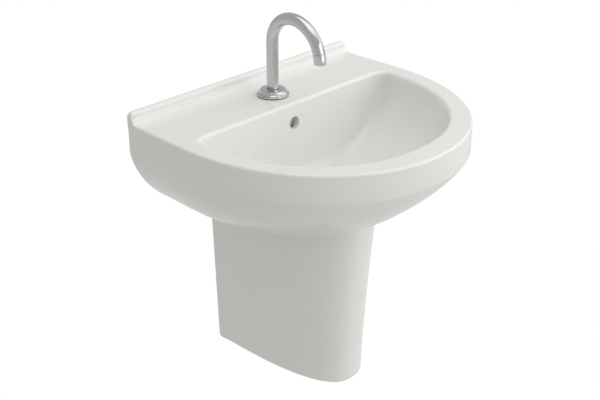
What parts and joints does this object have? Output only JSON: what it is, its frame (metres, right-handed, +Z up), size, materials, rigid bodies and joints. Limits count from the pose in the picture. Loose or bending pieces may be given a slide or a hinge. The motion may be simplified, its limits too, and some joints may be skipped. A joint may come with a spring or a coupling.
{
  "type": "wash basin",
  "caption": "Wall-hung ceramic wash basin with a half pedestal, a swivel gooseneck spout, a pop-up waste, a bottle trap and angle valves.",
  "frame": {"origin": "on the wall plane, midway between the two basin bolts, 100 mm below the rim", "axes": "+X to the right seen from the room, +Y into the wall, +Z up; the basin stands out along -Y"},
  "size_m": [0.6, 0.57, 0.754],
  "materials": {
    "glazed_china": "high gloss white glaze",
    "polished_chrome": "polished chrome plate",
    "zinc_steel": "zinc plated steel",
    "raw_brass": "machined brass",
    "black_rubber": "matt black rubber",
    "white_nylon": "moulded nylon",
    "steel_braid": "woven stainless braid"
  },
  "bodies": {
    "root": {"basin": "glazed_china", "semi_pedestal": "glazed_china", "basin_wall_bolts": "zinc_steel", "basin_bolt_sleeves": "white_nylon", "basin_bolt_washers": "zinc_steel", "basin_bolt_nuts": "zinc_steel", "pedestal_wall_bolts": "zinc_steel", "pedestal_bolt_washers": "white_nylon", "pedestal_bolt_nuts": "zinc_steel", "tap_base_gasket": "black_rubber", "tap_body": "polished_chrome", "tap_base_collar": "polished_chrome", "tap_rubber_washer": "black_rubber", "tap_steel_washer": "zinc_steel", "tap_backnut": "raw_brass", "spout_thrust_washer": "white_nylon", "waste_seal": "black_rubber", "waste_body": "polished_chrome", "waste_lower_seal": "black_rubber", "waste_backnut": "polished_chrome", "plug_cartridge": "white_nylon", "trap_inlet_nut": "polished_chrome", "trap_inlet_pipe": "polished_chrome", "trap_body": "polished_chrome", "trap_cup_seal": "black_rubber", "trap_cup": "polished_chrome", "trap_outlet_nut": "polished_chrome", "drain_pipe": "polished_chrome", "drain_rosette": "polished_chrome", "hot_valve_body": "polished_chrome", "cold_valve_body": "polished_chrome", "hot_valve_rosette": "polished_chrome", "cold_valve_rosette": "polished_chrome", "hot_hose": "steel_braid", "cold_hose": "steel_braid", "hot_hose_fittings": "zinc_steel", "cold_hose_fittings": "zinc_steel"},
    "spout": {"tap_spout": "polished_chrome", "spout_o_rings": "black_rubber", "spout_retaining_clip": "zinc_steel", "aerator_sleeve": "polished_chrome", "aerator_insert": "white_nylon", "aerator_seal": "black_rubber"},
    "plug": {"waste_plug": "polished_chrome", "plug_seal": "black_rubber"},
    "hot_knob": {"hot_valve_knob": "polished_chrome"},
    "cold_knob": {"cold_valve_knob": "polished_chrome"}
  },
  "joints": [
    {"name": "spout_swivel", "type": "hinge", "parent": "root", "child": "spout", "pos_m": [0, -0.087, 0.111], "axis": [0, 0, 1], "range_deg": [-60, 60]},
    {"name": "plug_lift", "type": "slide", "parent": "root", "child": "plug", "axis": [0, 0, 1], "range_m": [0, 0.008]},
    {"name": "hot_knob_turn", "type": "hinge", "parent": "root", "child": "hot_knob", "pos_m": [-0.05, -0.07, -0.3], "axis": [0, -1, 0], "range_deg": [0, 90]},
    {"name": "cold_knob_turn", "type": "hinge", "parent": "root", "child": "cold_knob", "pos_m": [0.05, -0.07, -0.3], "axis": [0, -1, 0], "range_deg": [0, 90]}
  ]
}
